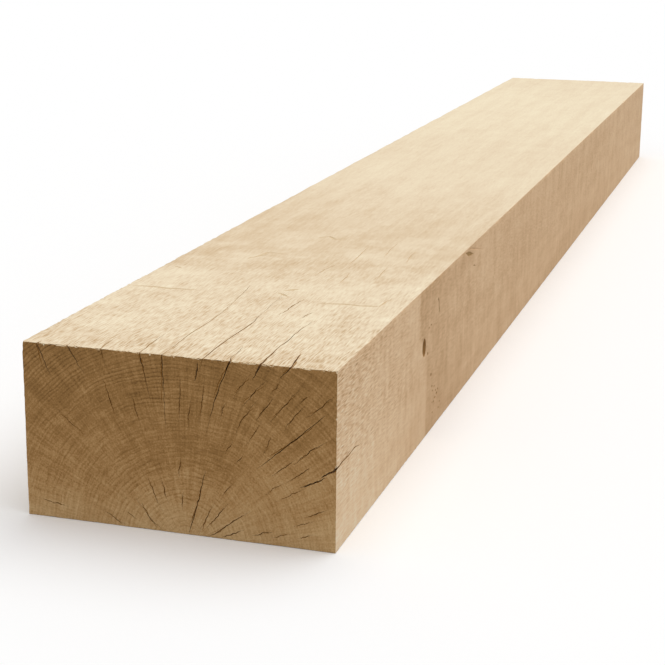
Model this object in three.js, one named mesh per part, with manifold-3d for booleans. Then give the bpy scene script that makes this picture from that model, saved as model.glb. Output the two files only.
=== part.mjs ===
// A railway sleeper: one new baulk of oak, sawn on all four sides from half a small log, untreated.
// Millimetres, +Z up. It lies flat along Y, centred on the origin, with its underside at Z = 0.
// The pith of the tree ran just below the underside, so the growth rings on the ends are arches
// about that line, and every drying check follows a ray that starts from it.

import * as THREE from 'three';
import { mergeVertices } from 'three/addons/utils/BufferGeometryUtils.js';
import Module from 'manifold-3d';

const wasm = await Module();
wasm.setup();

// ---- driving dimensions ----------------------------------------------------------------------

const LENGTH = 2000;
const WIDTH = 250;
const HEIGHT = 140;

const ARRIS_RADIUS = 1.5; // the four long edges, just blunted by the saw and by handling
const ARRIS_STEPS = 3;

const PITH_X = 7; // the pith line, to the right of the middle
const PITH_DROP = 10; // and below the underside

const CHECK_POINTS = 6; // points along each side of a check's outline
const CHECK_STEPS = 3; // stations from a check's mouth back to its tip
const MOUTH_OVERRUN = 2; // how far a cutter starts outside the face that it opens on

// Drying checks that open on an end. Each follows the rays of the wood, out from the pith:
//   turn   direction of its outer tip, in degrees up from +X
//   lean   how many degrees further round its inner tip lies
//   inset  how far in from the sleeper's skin it starts; 0 opens it on that face as well
//   reach  its length towards the pith
//   gape   its greatest width
//   run    how far it goes back along the grain
//   sway   how far its middle bows aside
const NEAR_CHECKS = [
  { turn: 130, lean: 0.5, inset: 0, reach: 20, gape: 0.7, run: 24, sway: 0.3 },
  { turn: 122.8, lean: 0, inset: 0, reach: 28, gape: 0.8, run: 30, sway: 0.8 },
  { turn: 114.6, lean: 0.8, inset: 0, reach: 17, gape: 1.0, run: 30, sway: 0.2 },
  { turn: 103.4, lean: 0.4, inset: 0, reach: 37, gape: 1.1, run: 62, sway: -1.2 },
  { turn: 97, lean: 2.8, inset: 0, reach: 57, gape: 1.1, run: 226, sway: -0.6 },
  { turn: 91.8, lean: 1.2, inset: 21, reach: 26, gape: 0.7, run: 30, sway: 0.4 },
  { turn: 83.6, lean: 3, inset: 0, reach: 19, gape: 1.3, run: 208, sway: -0.8 },
  { turn: 83.6, lean: -0.2, inset: 22, reach: 27, gape: 0.7, run: 30, sway: -0.4 },
  { turn: 76.5, lean: 2.7, inset: 0, reach: 60, gape: 1.1, run: 40, sway: -1.6 },
  { turn: 68.2, lean: 0.6, inset: 0, reach: 18, gape: 1.3, run: 126, sway: 0.4 },
  { turn: 64.6, lean: 2.9, inset: 32, reach: 50, gape: 0.8, run: 40, sway: 0.8 },
  { turn: 60.8, lean: 0.3, inset: 0, reach: 13, gape: 1.4, run: 48, sway: 0.2 },
  { turn: 62.1, lean: 0.2, inset: 13, reach: 36, gape: 0.7, run: 30, sway: -0.7 },
  { turn: 55.7, lean: 1.6, inset: 24, reach: 34, gape: 0.8, run: 30, sway: 0.7 },
  { turn: 52.2, lean: 1.4, inset: 39, reach: 50, gape: 0.9, run: 40, sway: -0.8 },
  { turn: 48.3, lean: 1.5, inset: 5, reach: 24, gape: 0.7, run: 25, sway: 0.3 },
  { turn: 46.6, lean: 4.2, inset: 16, reach: 64, gape: 1.1, run: 90, sway: 0.5 },
  { turn: 41, lean: 2.6, inset: 13, reach: 42, gape: 0.9, run: 60, sway: -0.8 },
  { turn: 32.4, lean: 0.6, inset: 0, reach: 54, gape: 2.4, run: 48, sway: 0.4 },
  { turn: 21.4, lean: 0.2, inset: 8, reach: 24, gape: 0.7, run: 25, sway: -0.3 },
];

// Short checks round the heart of the near end: "from" is where each starts, out from the pith.
const NEAR_HEART_CHECKS = [
  { turn: 140, lean: 10.5, from: 25, reach: 28, gape: 0.9, run: 60, sway: 0.4 },
  { turn: 121.7, lean: 4.3, from: 35, reach: 28, gape: 0.8, run: 45, sway: 0.4 },
  { turn: 76.5, lean: 5.5, from: 12, reach: 52, gape: 1.1, run: 80, sway: -0.8 },
  { turn: 50.2, lean: -1.8, from: 20, reach: 29, gape: 0.7, run: 40, sway: -0.9 },
  { turn: 36.3, lean: -5.1, from: 20, reach: 36, gape: 0.9, run: 60, sway: 0.8 },
];

// The far end has dried in the same way, with fewer and plainer checks that stop short of the skin.
const FAR_CHECKS = [
  { turn: 127, lean: 0.5, inset: 6, reach: 30, gape: 0.9, run: 40, sway: 0.8 },
  { turn: 108, lean: 1.5, inset: 7, reach: 36, gape: 1.0, run: 60, sway: -1.0 },
  { turn: 90, lean: 1.5, inset: 5, reach: 29, gape: 1.2, run: 60, sway: 0.6 },
  { turn: 74, lean: 2, inset: 6, reach: 42, gape: 1.0, run: 50, sway: -0.8 },
  { turn: 58, lean: 1.5, inset: 12, reach: 40, gape: 1.0, run: 40, sway: 1.0 },
  { turn: 38, lean: 1.5, inset: 7, reach: 52, gape: 1.4, run: 60, sway: 1.0 },
];

// A small dead knot that has dropped out: an oval hole in the right side face.
const KNOT_FROM_NEAR_END = 266; // to its middle
const KNOT_HEIGHT = 87; // of its middle, above the underside
const KNOT_WIDTH = 12; // along the grain
const KNOT_TALL = 17;
const KNOT_DEPTH = 9;

// A splinter torn out of the top right arris by the saw.
const SPLINTER_FROM_NEAR_END = 428;
const SPLINTER_LENGTH = 60;
const SPLINTER_DROP = 7; // down the side face
const SPLINTER_INSET = 2.5; // in from the side face
const SPLINTER_DEEPEST = 0.85; // as a share of its length, from the far tip

const OAK_COLOUR = 0xddc39b;

// ---- helpers ---------------------------------------------------------------------------------

// A closed geometry as a solid that can be joined and cut.
function toSolid(geometry) {
  geometry.deleteAttribute('normal');
  geometry.deleteAttribute('uv');
  const merged = mergeVertices(geometry);
  return new wasm.Manifold(
    new wasm.Mesh({
      numProp: 3,
      vertProperties: new Float32Array(merged.attributes.position.array),
      triVerts: new Uint32Array(merged.index.array),
    }),
  );
}

// A solid back as a geometry for a mesh.
function toGeometry(solid) {
  const mesh = solid.getMesh();
  const geometry = new THREE.BufferGeometry();
  geometry.setAttribute('position', new THREE.BufferAttribute(mesh.vertProperties, 3));
  geometry.setIndex(new THREE.BufferAttribute(mesh.triVerts, 1));
  geometry.computeVertexNormals();
  return geometry;
}

// Moves every vertex of a geometry to where place(x, y, z) says.
function mapVertices(geometry, place) {
  const position = geometry.attributes.position;
  for (let i = 0; i < position.count; i += 1) {
    const [x, y, z] = place(position.getX(i), position.getY(i), position.getZ(i));
    position.setXYZ(i, x, y, z);
  }
  return geometry;
}

// ---- the baulk -------------------------------------------------------------------------------

// The sawn section, with its four arrises eased, drawn in X and Z.
function sectionShape() {
  const right = WIDTH / 2 - ARRIS_RADIUS;
  const top = HEIGHT - ARRIS_RADIUS;
  const quarter = Math.PI / 2;
  const shape = new THREE.Shape();
  shape.moveTo(-right, 0);
  shape.absarc(right, ARRIS_RADIUS, ARRIS_RADIUS, -quarter, 0, false);
  shape.absarc(right, top, ARRIS_RADIUS, 0, quarter, false);
  shape.absarc(-right, top, ARRIS_RADIUS, quarter, 2 * quarter, false);
  shape.absarc(-right, ARRIS_RADIUS, ARRIS_RADIUS, 2 * quarter, 3 * quarter, false);
  return shape;
}

function sawnBaulk() {
  const geometry = new THREE.ExtrudeGeometry(sectionShape(), {
    depth: LENGTH,
    curveSegments: ARRIS_STEPS,
    bevelEnabled: false,
  });
  geometry.rotateX(Math.PI / 2);
  geometry.translate(0, LENGTH / 2, 0);
  return toSolid(geometry);
}

// ---- drying checks ---------------------------------------------------------------------------

// How far a ray from the pith runs before it leaves the section.
function distanceToSkin(angle) {
  const sideways = (Math.sign(Math.cos(angle)) * (WIDTH / 2) - PITH_X) / Math.cos(angle);
  const upward = (HEIGHT + PITH_DROP) / Math.sin(angle);
  return Math.min(sideways, upward);
}

// The outline of a check on the end grain: u runs out along the ray and v across it. One that
// opens on a side face is widest there, and any other is a thin lens with two sharp tips.
function checkOutline(check, outer) {
  const opensOnSkin = check.inset === 0;
  const left = [];
  const right = [];
  for (let i = 0; i <= CHECK_POINTS; i += 1) {
    const inward = i / CHECK_POINTS;
    const swell = opensOnSkin ? (1 - inward) ** 0.7 : Math.sin(Math.PI * inward) ** 0.8;
    const half = (check.gape / 2) * swell;
    const middle = check.sway * Math.sin(Math.PI * inward);
    const u = outer - check.reach * inward;
    left.push(new THREE.Vector2(u, middle - half));
    right.push(new THREE.Vector2(u, middle + half));
  }
  const closesAtInnerTip = left.slice(0, -1).concat(right.slice(1).reverse());
  return opensOnSkin ? closesAtInnerTip.concat([right[0]]) : closesAtInnerTip;
}

// The cutter for one check. It follows the rays from the pith line and closes up as it goes back
// from the end: end is -1 for the near end and 1 for the far one.
function checkCutter(check, end) {
  const opensOnSkin = check.inset === 0;
  const skin = distanceToSkin(THREE.MathUtils.degToRad(check.turn));
  const fromSkin = skin - check.inset + (opensOnSkin ? MOUTH_OVERRUN : 0);
  const outer = check.from === undefined ? fromSkin : check.from + check.reach;
  const closing = opensOnSkin ? outer : outer - check.reach / 2;
  const geometry = new THREE.ExtrudeGeometry(new THREE.Shape(checkOutline(check, outer)), {
    depth: check.run + MOUTH_OVERRUN,
    steps: CHECK_STEPS,
    bevelEnabled: false,
  });
  mapVertices(geometry, (u, v, depth) => {
    const back = Math.max(0, depth - MOUTH_OVERRUN) / check.run;
    const open = Math.max(0.12, Math.sqrt(1 - Math.min(1, back) ** 2));
    const alongRay = closing + (u - closing) * open;
    const across = -end * v * open;
    const inward = (outer - alongRay) / check.reach;
    const angle = THREE.MathUtils.degToRad(check.turn + check.lean * inward);
    return [
      PITH_X + alongRay * Math.cos(angle) + across * Math.sin(angle),
      end * (LENGTH / 2 + MOUTH_OVERRUN - depth),
      -PITH_DROP + alongRay * Math.sin(angle) - across * Math.cos(angle),
    ];
  });
  return toSolid(geometry);
}

// ---- knot and splinter -----------------------------------------------------------------------

// The hole of the dead knot, narrowing into the right side face.
function knotCutter() {
  const mouth = new THREE.Shape();
  mouth.absellipse(0, 0, KNOT_WIDTH / 2, KNOT_TALL / 2, 0, 2 * Math.PI, false);
  const geometry = new THREE.ExtrudeGeometry(mouth, {
    depth: KNOT_DEPTH + MOUTH_OVERRUN,
    steps: 2,
    curveSegments: 6,
    bevelEnabled: false,
  });
  mapVertices(geometry, (along, up, depth) => {
    const narrowing = 1 - (0.7 * depth) / (KNOT_DEPTH + MOUTH_OVERRUN);
    return [
      WIDTH / 2 + MOUTH_OVERRUN - depth,
      -LENGTH / 2 + KNOT_FROM_NEAR_END - along * narrowing,
      KNOT_HEIGHT + up * narrowing,
    ];
  });
  return toSolid(geometry);
}

// The hollow that the splinter left: a long sliver, deepest towards its near tip.
function splinterCutter() {
  const face = new THREE.Shape();
  face.moveTo(0, 0);
  face.quadraticCurveTo(SPLINTER_LENGTH * SPLINTER_DEEPEST, -SPLINTER_DROP * 2, SPLINTER_LENGTH, 0);
  face.lineTo(SPLINTER_LENGTH, MOUTH_OVERRUN);
  face.lineTo(0, MOUTH_OVERRUN);
  const geometry = new THREE.ExtrudeGeometry(face, {
    depth: SPLINTER_INSET + MOUTH_OVERRUN,
    curveSegments: 8,
    bevelEnabled: false,
  });
  mapVertices(geometry, (along, up, depth) => [
    WIDTH / 2 + MOUTH_OVERRUN - depth,
    -LENGTH / 2 + SPLINTER_FROM_NEAR_END + SPLINTER_LENGTH - along,
    HEIGHT + up,
  ]);
  return toSolid(geometry);
}

// ---- the part --------------------------------------------------------------------------------

function sleeperSolid() {
  const cutters = [
    ...NEAR_CHECKS.map((check) => checkCutter(check, -1)),
    ...NEAR_HEART_CHECKS.map((check) => checkCutter(check, -1)),
    ...FAR_CHECKS.map((check) => checkCutter(check, 1)),
    knotCutter(),
    splinterCutter(),
  ];
  return cutters.reduce((solid, cutter) => solid.subtract(cutter), sawnBaulk());
}

const oak = new THREE.MeshStandardMaterial({ color: OAK_COLOUR, roughness: 0.85, metalness: 0 });

const sleeper = new THREE.Mesh(toGeometry(sleeperSolid()), oak);
sleeper.name = 'sleeper';

const part = new THREE.Group();
part.add(sleeper);

export default part;
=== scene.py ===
# %% [markdown]
# # A railway sleeper in sawn oak
#
# The object is one baulk of green oak, 2 m long, sawn on four sides and cross-cut at both ends.
# Nobody planed, sanded or oiled it. All of its character is in three things: the growth rings and
# rays on the dark end grain, the drying checks that split it along those rays, and the pale woolly
# skin that the saw left on the long faces. This lesson makes each of them in turn.

import math

import bmesh
import bpy
from mathutils import Matrix, Vector, noise


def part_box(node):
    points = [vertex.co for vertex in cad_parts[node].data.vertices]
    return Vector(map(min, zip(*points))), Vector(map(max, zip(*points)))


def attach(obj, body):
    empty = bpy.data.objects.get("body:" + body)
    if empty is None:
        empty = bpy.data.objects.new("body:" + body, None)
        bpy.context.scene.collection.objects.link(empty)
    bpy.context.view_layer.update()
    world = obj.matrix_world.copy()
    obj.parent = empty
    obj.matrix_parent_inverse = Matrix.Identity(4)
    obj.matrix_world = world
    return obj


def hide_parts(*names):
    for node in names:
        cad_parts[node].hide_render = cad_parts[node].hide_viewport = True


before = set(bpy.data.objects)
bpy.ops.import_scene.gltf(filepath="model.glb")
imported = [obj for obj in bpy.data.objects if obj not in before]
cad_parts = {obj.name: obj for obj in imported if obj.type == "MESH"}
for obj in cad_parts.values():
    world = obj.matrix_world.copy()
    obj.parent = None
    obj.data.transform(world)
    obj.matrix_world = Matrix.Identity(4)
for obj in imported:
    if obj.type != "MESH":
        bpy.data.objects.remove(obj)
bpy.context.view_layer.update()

# %% [markdown]
# ## Real sizes
#
# Everything below is worked out from the sleeper's own box and from sizes in millimetres, so one
# constant turns them into Blender's metres. The pith is the centre of the tree. Here it ran just
# under the bottom face, a little right of the middle, and every ring and check refers to it.

# %% Name the sizes
MM = 0.001
BOX_LOW = Vector(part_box("sleeper")[0])
BOX_HIGH = Vector(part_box("sleeper")[1])
LENGTH = BOX_HIGH.y - BOX_LOW.y
WIDTH = BOX_HIGH.x - BOX_LOW.x
HEIGHT = BOX_HIGH.z - BOX_LOW.z
NEAR_Y = BOX_LOW.y
PITH_X = 7 * MM
PITH_Z = -10 * MM
print(f"sleeper {LENGTH / MM:.0f} x {WIDTH / MM:.0f} x {HEIGHT / MM:.0f} mm")

# %% [markdown]
# ## Helpers
#
# A node tree is a list of nodes, each with a few settings and a few links. One function that adds
# a node, sets it and wires it keeps every tree below readable: an input may be given a number, a
# socket, or another node, which then lends its first output. Sums come up all the time, so a
# number in a tree is wrapped in a small class: `a * b + 1` on it adds the two Math nodes that the
# sum stands for. Ranges and noises get a short name too. Colours are written as the sRGB hex values
# that a colour picker shows, and `linear` turns them into Blender's linear ones.

# %% Nodes and sums
HALF = 0.5
NOISE_MEAN = 0.5
MIX_FIRST, MIX_SECOND, MIX_RESULT = 6, 7, 2  # where a Mix node keeps its colours


def add_node(tree, kind, inputs=None, **settings):
    made = tree.nodes.new(kind)
    for name, value in settings.items():
        setattr(made, name, value)
    for key, value in (inputs or {}).items():
        if isinstance(value, Value):
            value = value.socket
        if isinstance(value, bpy.types.Node):
            value = value.outputs[0]
        if isinstance(value, bpy.types.NodeSocket):
            tree.links.new(value, made.inputs[key])
        else:
            made.inputs[key].default_value = value
    return made


def calc(tree, operation, *values):
    made = add_node(tree, "ShaderNodeMath", dict(enumerate(values)), operation=operation)
    return Value(tree, made.outputs[0])


class Value:
    """A number in a node tree. Each step of a sum with it adds one Math node."""

    def __init__(self, tree, socket):
        self.tree = tree
        self.socket = socket

    def __add__(self, other):
        return calc(self.tree, "ADD", self, other)

    def __sub__(self, other):
        return calc(self.tree, "SUBTRACT", self, other)

    def __rsub__(self, other):
        return calc(self.tree, "SUBTRACT", other, self)

    def __mul__(self, other):
        return calc(self.tree, "MULTIPLY", self, other)

    def __truediv__(self, other):
        return calc(self.tree, "DIVIDE", self, other)

    def __rtruediv__(self, other):
        return calc(self.tree, "DIVIDE", other, self)

    def __pow__(self, power):
        return calc(self.tree, "POWER", self, power)

    def at_least(self, least):
        return calc(self.tree, "MAXIMUM", self, least)


print("ready: add_node, calc and Value")


# %% Ranges, noises, vectors, colours and objects
def remap(tree, value, start, goal, **settings):
    """Carries a value from one range over to another, and holds it there beyond the ends."""
    labels = ("From Min", "From Max", "To Min", "To Max")
    inputs = {"Value": value, **dict(zip(labels, (*start, *goal)))}
    return Value(tree, add_node(tree, "ShaderNodeMapRange", inputs, **settings).outputs[0])


def add_noise(tree, where, scale, detail):
    inputs = {"Vector": where, "Scale": scale, "Detail": detail}
    return Value(tree, add_node(tree, "ShaderNodeTexNoise", inputs).outputs[0])


def vector(tree, x, y, z):
    return add_node(tree, "ShaderNodeCombineXYZ", {0: x, 1: y, 2: z})


def axes(tree, whole):
    split = add_node(tree, "ShaderNodeSeparateXYZ", {0: whole})
    return {axis: Value(tree, split.outputs[axis]) for axis in "XYZ"}


def calc_vector(tree, operation, *values):
    return add_node(tree, "ShaderNodeVectorMath", dict(enumerate(values)), operation=operation)


def scaled(tree, whole, factor):
    return add_node(tree, "ShaderNodeVectorMath", {0: whole, "Scale": factor}, operation="SCALE")


def mix_colours(tree, factor, first, second):
    inputs = {"Factor": factor, MIX_FIRST: first, MIX_SECOND: second}
    return add_node(tree, "ShaderNodeMix", inputs, data_type="RGBA").outputs[MIX_RESULT]


def linear(hex_colour):
    """Turns a colour such as #808080 into linear light, along the standard sRGB curve."""
    channels = [int(hex_colour[i : i + 2], 16) / 255 for i in (1, 3, 5)]
    flat = [c / 12.92 if c <= 0.04045 else ((c + 0.055) / 1.055) ** 2.4 for c in channels]
    return (*flat, 1.0)


def stand(name, data):
    """Puts an object with this data in the scene."""
    stood = bpy.data.objects.new(name, data)
    bpy.context.scene.collection.objects.link(stood)
    return stood


print("mid grey in linear light is", [round(c, 3) for c in linear("#808080")])

# %% [markdown]
# ## The camera
#
# A low three-quarter view down the length, from the right of the near end. The lens is a short
# telephoto, so the far end shrinks to under half the size of the near one. The camera is turned
# by three plain angles: which way it faces, how far it looks down, and a slight tilt of the head.

# %% Place the camera
CAMERA_AT = Vector((0.433, -2.036, 0.463))
CAMERA_TURN = math.radians(16.77)  # to the left of +Y
CAMERA_DOWN = math.radians(15.23)
CAMERA_TILT = math.radians(0.57)
FOCAL_MM = 85.65
SENSOR_MM = 36

camera_data = bpy.data.cameras.new("camera")
camera_data.lens = FOCAL_MM
camera_data.sensor_width = SENSOR_MM
camera = stand("camera", camera_data)
camera.matrix_world = (
    Matrix.Translation(CAMERA_AT)
    @ Matrix.Rotation(CAMERA_TURN, 4, "Z")
    @ Matrix.Rotation(math.pi / 2 - CAMERA_DOWN, 4, "X")
    @ Matrix.Rotation(CAMERA_TILT, 4, "Z")
)
bpy.context.scene.camera = camera
bpy.context.scene.view_settings.view_transform = "Standard"
print("camera at", tuple(round(c, 3) for c in CAMERA_AT), "lens", FOCAL_MM, "mm")

# %% [markdown]
# ## Light and floor
#
# Pale timber wants soft light with one clear direction, or its relief goes flat. A white sky gives
# a little under half of the light. The rest comes from a very broad sun, high up behind the right
# side, so that the top is brightest, the right side next, and the end grain lies in open shade.
# Together they add up to 1 on the top face, where a colour then renders as it is written.
#
# The floor is a pale board. To the camera it is white paper, and to the light it bounces it is a
# light grey, which keeps the end grain from being lit up from below. It still takes a shadow.

# %% Light the set
SKY_STRENGTH = 0.45
SUN_ON_TOP = 0.55
SUN_FROM = Vector((0.30, 0.22, 1.0))
SUN_SPREAD = math.radians(70)
FLOOR_SIZE = 60.0
WHITE = linear("#FFFFFF")
FLOOR_BOUNCE = linear("#BDBDBD")

world = bpy.data.worlds.new("soft white sky")
bpy.context.scene.world = world
world.use_nodes = True
sky = world.node_tree
sky.nodes.clear()
sky_seen = add_node(sky, "ShaderNodeLightPath").outputs["Is Camera Ray"]
sky_level = add_node(
    sky, "ShaderNodeMix", {"Factor": sky_seen, "A": SKY_STRENGTH, "B": 1.0}, data_type="FLOAT"
)
sky_light = add_node(sky, "ShaderNodeBackground", {"Color": WHITE, "Strength": sky_level})
add_node(sky, "ShaderNodeOutputWorld", {"Surface": sky_light})

sun_data = bpy.data.lights.new("broad sun", "SUN")
sun_data.energy = math.pi * SUN_ON_TOP / SUN_FROM.normalized().z
sun_data.angle = SUN_SPREAD
sun = stand("broad sun", sun_data)
sun.rotation_euler = SUN_FROM.to_track_quat("Z", "Y").to_euler()

floor_mesh = bpy.data.meshes.new("floor")
half_floor = FLOOR_SIZE / 2
floor_mesh.from_pydata(
    [(x, y, BOX_LOW.z) for x, y in ((-1, -1), (1, -1), (1, 1), (-1, 1))], [], [(0, 1, 2, 3)]
)
floor_mesh.transform(Matrix.Diagonal((half_floor, half_floor, 1, 1)))
floor = stand("floor", floor_mesh)

paper = bpy.data.materials.new("white paper floor")
paper.use_nodes = True
paper_tree = paper.node_tree
paper_tree.nodes.clear()
seen = add_node(paper_tree, "ShaderNodeLightPath").outputs["Is Camera Ray"]
paper_colour = mix_colours(paper_tree, seen, FLOOR_BOUNCE, WHITE)
paper_shader = add_node(paper_tree, "ShaderNodeBsdfDiffuse", {"Color": paper_colour})
add_node(paper_tree, "ShaderNodeOutputMaterial", {"Surface": paper_shader})
floor_mesh.materials.append(paper)
print("sky", SKY_STRENGTH, "+ sun", SUN_ON_TOP, "on the top face")

# %% [markdown]
# ## How the timber gets its colour
#
# Sawn wood has no single colour. Its pores, fibres, rings and stains each add a little light or dark
# of their own size and direction. So each finish below is one grey tone, 0 dark to 1 light, to which
# noises are added one after another. Each noise is stretched to the size of the mark that it stands
# for, in millimetres. At the end one ramp turns the tone into wood colours, and the same tone, used
# as height, lets the light catch the torn fibres.

# %% Add layers of marks to a tone
MID_TONE = 0.5
DRY_ROUGHNESS = 0.9
DRY_SHINE = 0.25


def add_marks(tree, tone, *layers):
    """Adds noises, each centred on zero, to a tone. A layer is where, mark size, detail, weight."""
    for where, size, detail, weight in layers:
        at = calc_vector(tree, "MULTIPLY", where, tuple(1 / side for side in size))
        tone = (add_noise(tree, at, 1.0, detail) - NOISE_MEAN) * weight + tone
    return tone


def add_shades(tree, tone, *shades):
    """Adds slow changes. A shade is a coordinate, its two ends in mm, and what each end adds."""
    for along, start, end, *adds in shades:
        ends = (start * MM, end * MM)
        tone = remap(tree, along, ends, adds, interpolation_type="SMOOTHSTEP") + tone
    return tone


def with_grain(across, along):
    """The size of a mark that lies along the grain, given in mm."""
    return (across * MM, along * MM, across * MM)


def new_finish(name):
    """Returns a material with an empty tree, and its Object coordinates whole and split."""
    material = bpy.data.materials.new(name)
    material.use_nodes = True
    tree = material.node_tree
    tree.nodes.clear()
    where = add_node(tree, "ShaderNodeTexCoord").outputs["Object"]
    return material, tree, where, axes(tree, where)


def add_ramp(tree, tone, colours):
    """Turns a tone into colours, from the darkest stop, at 0, up to the lightest, at 1."""
    ramp = add_node(tree, "ShaderNodeValToRGB", {"Fac": tone})
    stops = ramp.color_ramp.elements
    for position, _ in colours[1:-1]:
        stops.new(position)
    for stop, (position, colour) in zip(stops, colours):
        stop.color = linear(colour) if isinstance(colour, str) else (colour, colour, colour, 1)
    return ramp


def dress(tree, colour, height, relief, shine=DRY_SHINE):
    """Turns the height into relief and wires up dry, matt, unfinished wood of a colour."""
    bump = add_node(tree, "ShaderNodeBump", {"Height": height, "Strength": 1.0, "Distance": relief})
    look = {"Roughness": DRY_ROUGHNESS, "Specular IOR Level": shine, "Normal": bump}
    shader = add_node(tree, "ShaderNodeBsdfPrincipled", {"Base Color": colour, **look})
    add_node(tree, "ShaderNodeOutputMaterial", {"Surface": shader})


print("tone helpers ready")

# %% [markdown]
# ## End grain
#
# Cross-cut oak shows the tree as a target: a ring for each year, dark where the big spring pores
# lie and light where the wood is dense, crossed by fine rays from the pith. The saw cuts the ends of
# the fibres, and their open tubes drink the light, so the same timber is far browner here than on
# its long faces. The figure is drawn in the tree's own coordinates: distance from the pith and the
# angle round it. A noise that is thin one way and long the other then gives arcs or rays.

# %% What the end grain shows
INNER_RING = 3.8 * MM  # the young tree grew fast
OUTER_RING = 2.8 * MM  # and slowed down later
SLOWED_AT = 85.0 * MM
RING_WANDER = 8.0 * MM
WANDER_SIZE = 70.0 * MM
RING_SHAKE = 2.2 * MM
SHAKE_SIZE = 9.0 * MM
RAYS_MULTIPLY_AT = 82.0 * MM  # new rays start between the old ones, so their spacing stays alike
TORN_FROM = 0.92  # how square to the cut a surface lies, as a cosine, where the tearing starts
TORN_WHOLLY = 0.80
YEAR = ((0.0, 0.30), (0.22, 0.42), (0.5, 0.60), (1.0, 0.62))  # grey, from spring to autumn
YEAR_MEAN = 0.53
RINGS_SHOW = 0.42  # how plainly the rings stand out, before place and chance have their say
RAYS_SHOW = 0.38
RAYS_CHANGE_IN = 15 * MM  # half of the stretch over which the finer rays take over
END_RELIEF = 0.25 * MM
END_COLOURS = (
    (0.0, "#6A4820"),
    (0.38, "#A97E49"),
    (0.5, "#B78A54"),
    (0.66, "#CC9F68"),
    (1.0, "#E8C28C"),
)
NAP_COLOUR = "#E6CFAA"
print(f"rings are {INNER_RING / MM} mm wide at first and {OUTER_RING / MM} mm further out")


# %% End grain material
def end_grain():
    material, tree, where, place = new_finish("cross-cut oak end grain")
    across = place["X"] - PITH_X
    up = place["Z"] - PITH_Z
    section = vector(tree, across, place["Y"], up)
    flat = vector(tree, across, 0.0, up)
    true_radius = Value(tree, calc_vector(tree, "LENGTH", flat).outputs["Value"])
    angle = calc(tree, "ARCTAN2", up, across)

    # Growth rings are never true circles, so the distance from the pith wanders and shakes. In
    # arcs and fan, the size of a mark is a distance outwards, an angle in radians, and 1.
    radius = add_marks(
        tree,
        true_radius,
        (section, (WANDER_SIZE,) * 3, 1.0, RING_WANDER),
        (section, (SHAKE_SIZE,) * 3, 1.0, RING_SHAKE),
    )
    arcs = vector(tree, radius, angle, 0.0)
    fan = vector(tree, true_radius, angle, 1.0)

    # Ring number: wide rings up to where the tree slowed down, narrow ones beyond.
    young = calc(tree, "MINIMUM", radius, SLOWED_AT)
    old = (radius - SLOWED_AT).at_least(0.0)
    ring = old * (1 / OUTER_RING) + young / INNER_RING
    ring_tone = add_ramp(tree, calc(tree, "FRACT", ring), YEAR)

    # Rings stand out in some years and some places only.
    faint_further_out = add_shades(
        tree,
        RINGS_SHOW,
        (radius, 70, 105, 0.0, -0.30),
        (place["Z"], 75, 130, 0.0, 0.40),
        (place["X"], -20, 70, 0.0, -0.30),
    )
    shows = add_marks(
        tree,
        faint_further_out,
        (arcs, (12 * MM, 0.5, 1.0), 1.0, 1.2),
        (arcs, (4 * MM, 0.30, 1.0), 1.0, 1.6),
    )
    ring_centred = calc(tree, "SUBTRACT", ring_tone, YEAR_MEAN)
    tone = ring_centred * shows.at_least(0.0) + MID_TONE

    # Fine rays near the pith, finer ones further out.
    change = (RAYS_MULTIPLY_AT - RAYS_CHANGE_IN, RAYS_MULTIPLY_AT + RAYS_CHANGE_IN)
    inner = remap(tree, true_radius, change, (RAYS_SHOW, 0.0))
    outer = RAYS_SHOW - inner
    left_side = remap(tree, across, (-60 * MM, 20 * MM), (0.14, 0.05))
    tone = add_marks(
        tree,
        tone,
        (arcs, (1.7 * MM, 0.15, 1.0), 1.0, 0.42),
        (arcs, (7.0 * MM, 0.50, 1.0), 1.0, 0.26),
        (fan, (26 * MM, 0.038, 1.0), 1.0, inner),
        (fan, (30 * MM, 0.017, 1.0), 1.0, outer),
        (fan, (70 * MM, 0.070, 1.0), 1.0, 0.20),
        (section, (1.3 * MM,) * 3, 1.0, 0.52),
        (section, (4.5 * MM,) * 3, 1.0, left_side),
        (section, (24 * MM,) * 3, 2.0, 0.20),
    )
    relief = tone

    # Painted light from below: the end is lighter towards its bottom and darker towards its top,
    # which also offsets the shade near the floor. It is darker at its top left, and a denser band
    # lies round the young wood.
    from_top_left = place["X"] - place["Z"]
    tone = add_shades(
        tree,
        tone,
        (from_top_left, -262, -235, -0.13, 0.0),
        # These three rows are the painted light from below.
        (place["Z"], 0.0, 40, 0.17, 0.03),
        (place["Z"], 0.0, 90, 0.15, 0.0),
        (place["Z"], 20, 140, 0.03, -0.11),
        (place["X"], -125, 125, -0.02, 0.04),
        (radius, 52, 66, 0.0, -0.055),
        (radius, 80, 98, 0.0, 0.055),
    )
    brown = add_ramp(tree, tone, END_COLOURS)

    # Where the corner turns, the fibres were torn and not cut, and they are as pale as the nap.
    normal = add_node(tree, "ShaderNodeNewGeometry").outputs["Normal"]
    squareness = calc(tree, "ABSOLUTE", axes(tree, normal)["Y"])
    torn = remap(tree, squareness, (TORN_WHOLLY, TORN_FROM), (1.0, 0.0))
    dress(tree, mix_colours(tree, torn, brown, linear(NAP_COLOUR)), relief, END_RELIEF)
    return material


cross_cut = end_grain()
print("made", cross_cut.name)

# %% [markdown]
# ## Top and underside
#
# A mill saw tears as much as it cuts. It leaves a pale nap of broken fibres that hides most of the
# figure. What shows through is a mottle as wide as a thumb, thin streaks along the grain and a
# darker patch where the blade pressed. The nap is coarsest where the saw went in, at the near end.
# Further back the patches fade, and the long grain of the board shows instead.

# %% Sawn face material
# Stretches back from the near end. Over its stretch, a mark goes from one weight to another.
NAP_SETTLES = (0.0, 400 * MM)
MOTTLE_FADES = (0.0, 450 * MM)
GRAIN_TAKES_OVER = (400 * MM, 560 * MM)
NAP_RELIEF = 0.35 * MM
TOP_COLOURS = (
    (0.0, "#B4905F"),
    (0.3, "#DBC19D"),
    (0.5, "#EBD7B8"),
    (0.72, "#F6E7C8"),
    (1.0, "#FDF2D9"),
)


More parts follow.
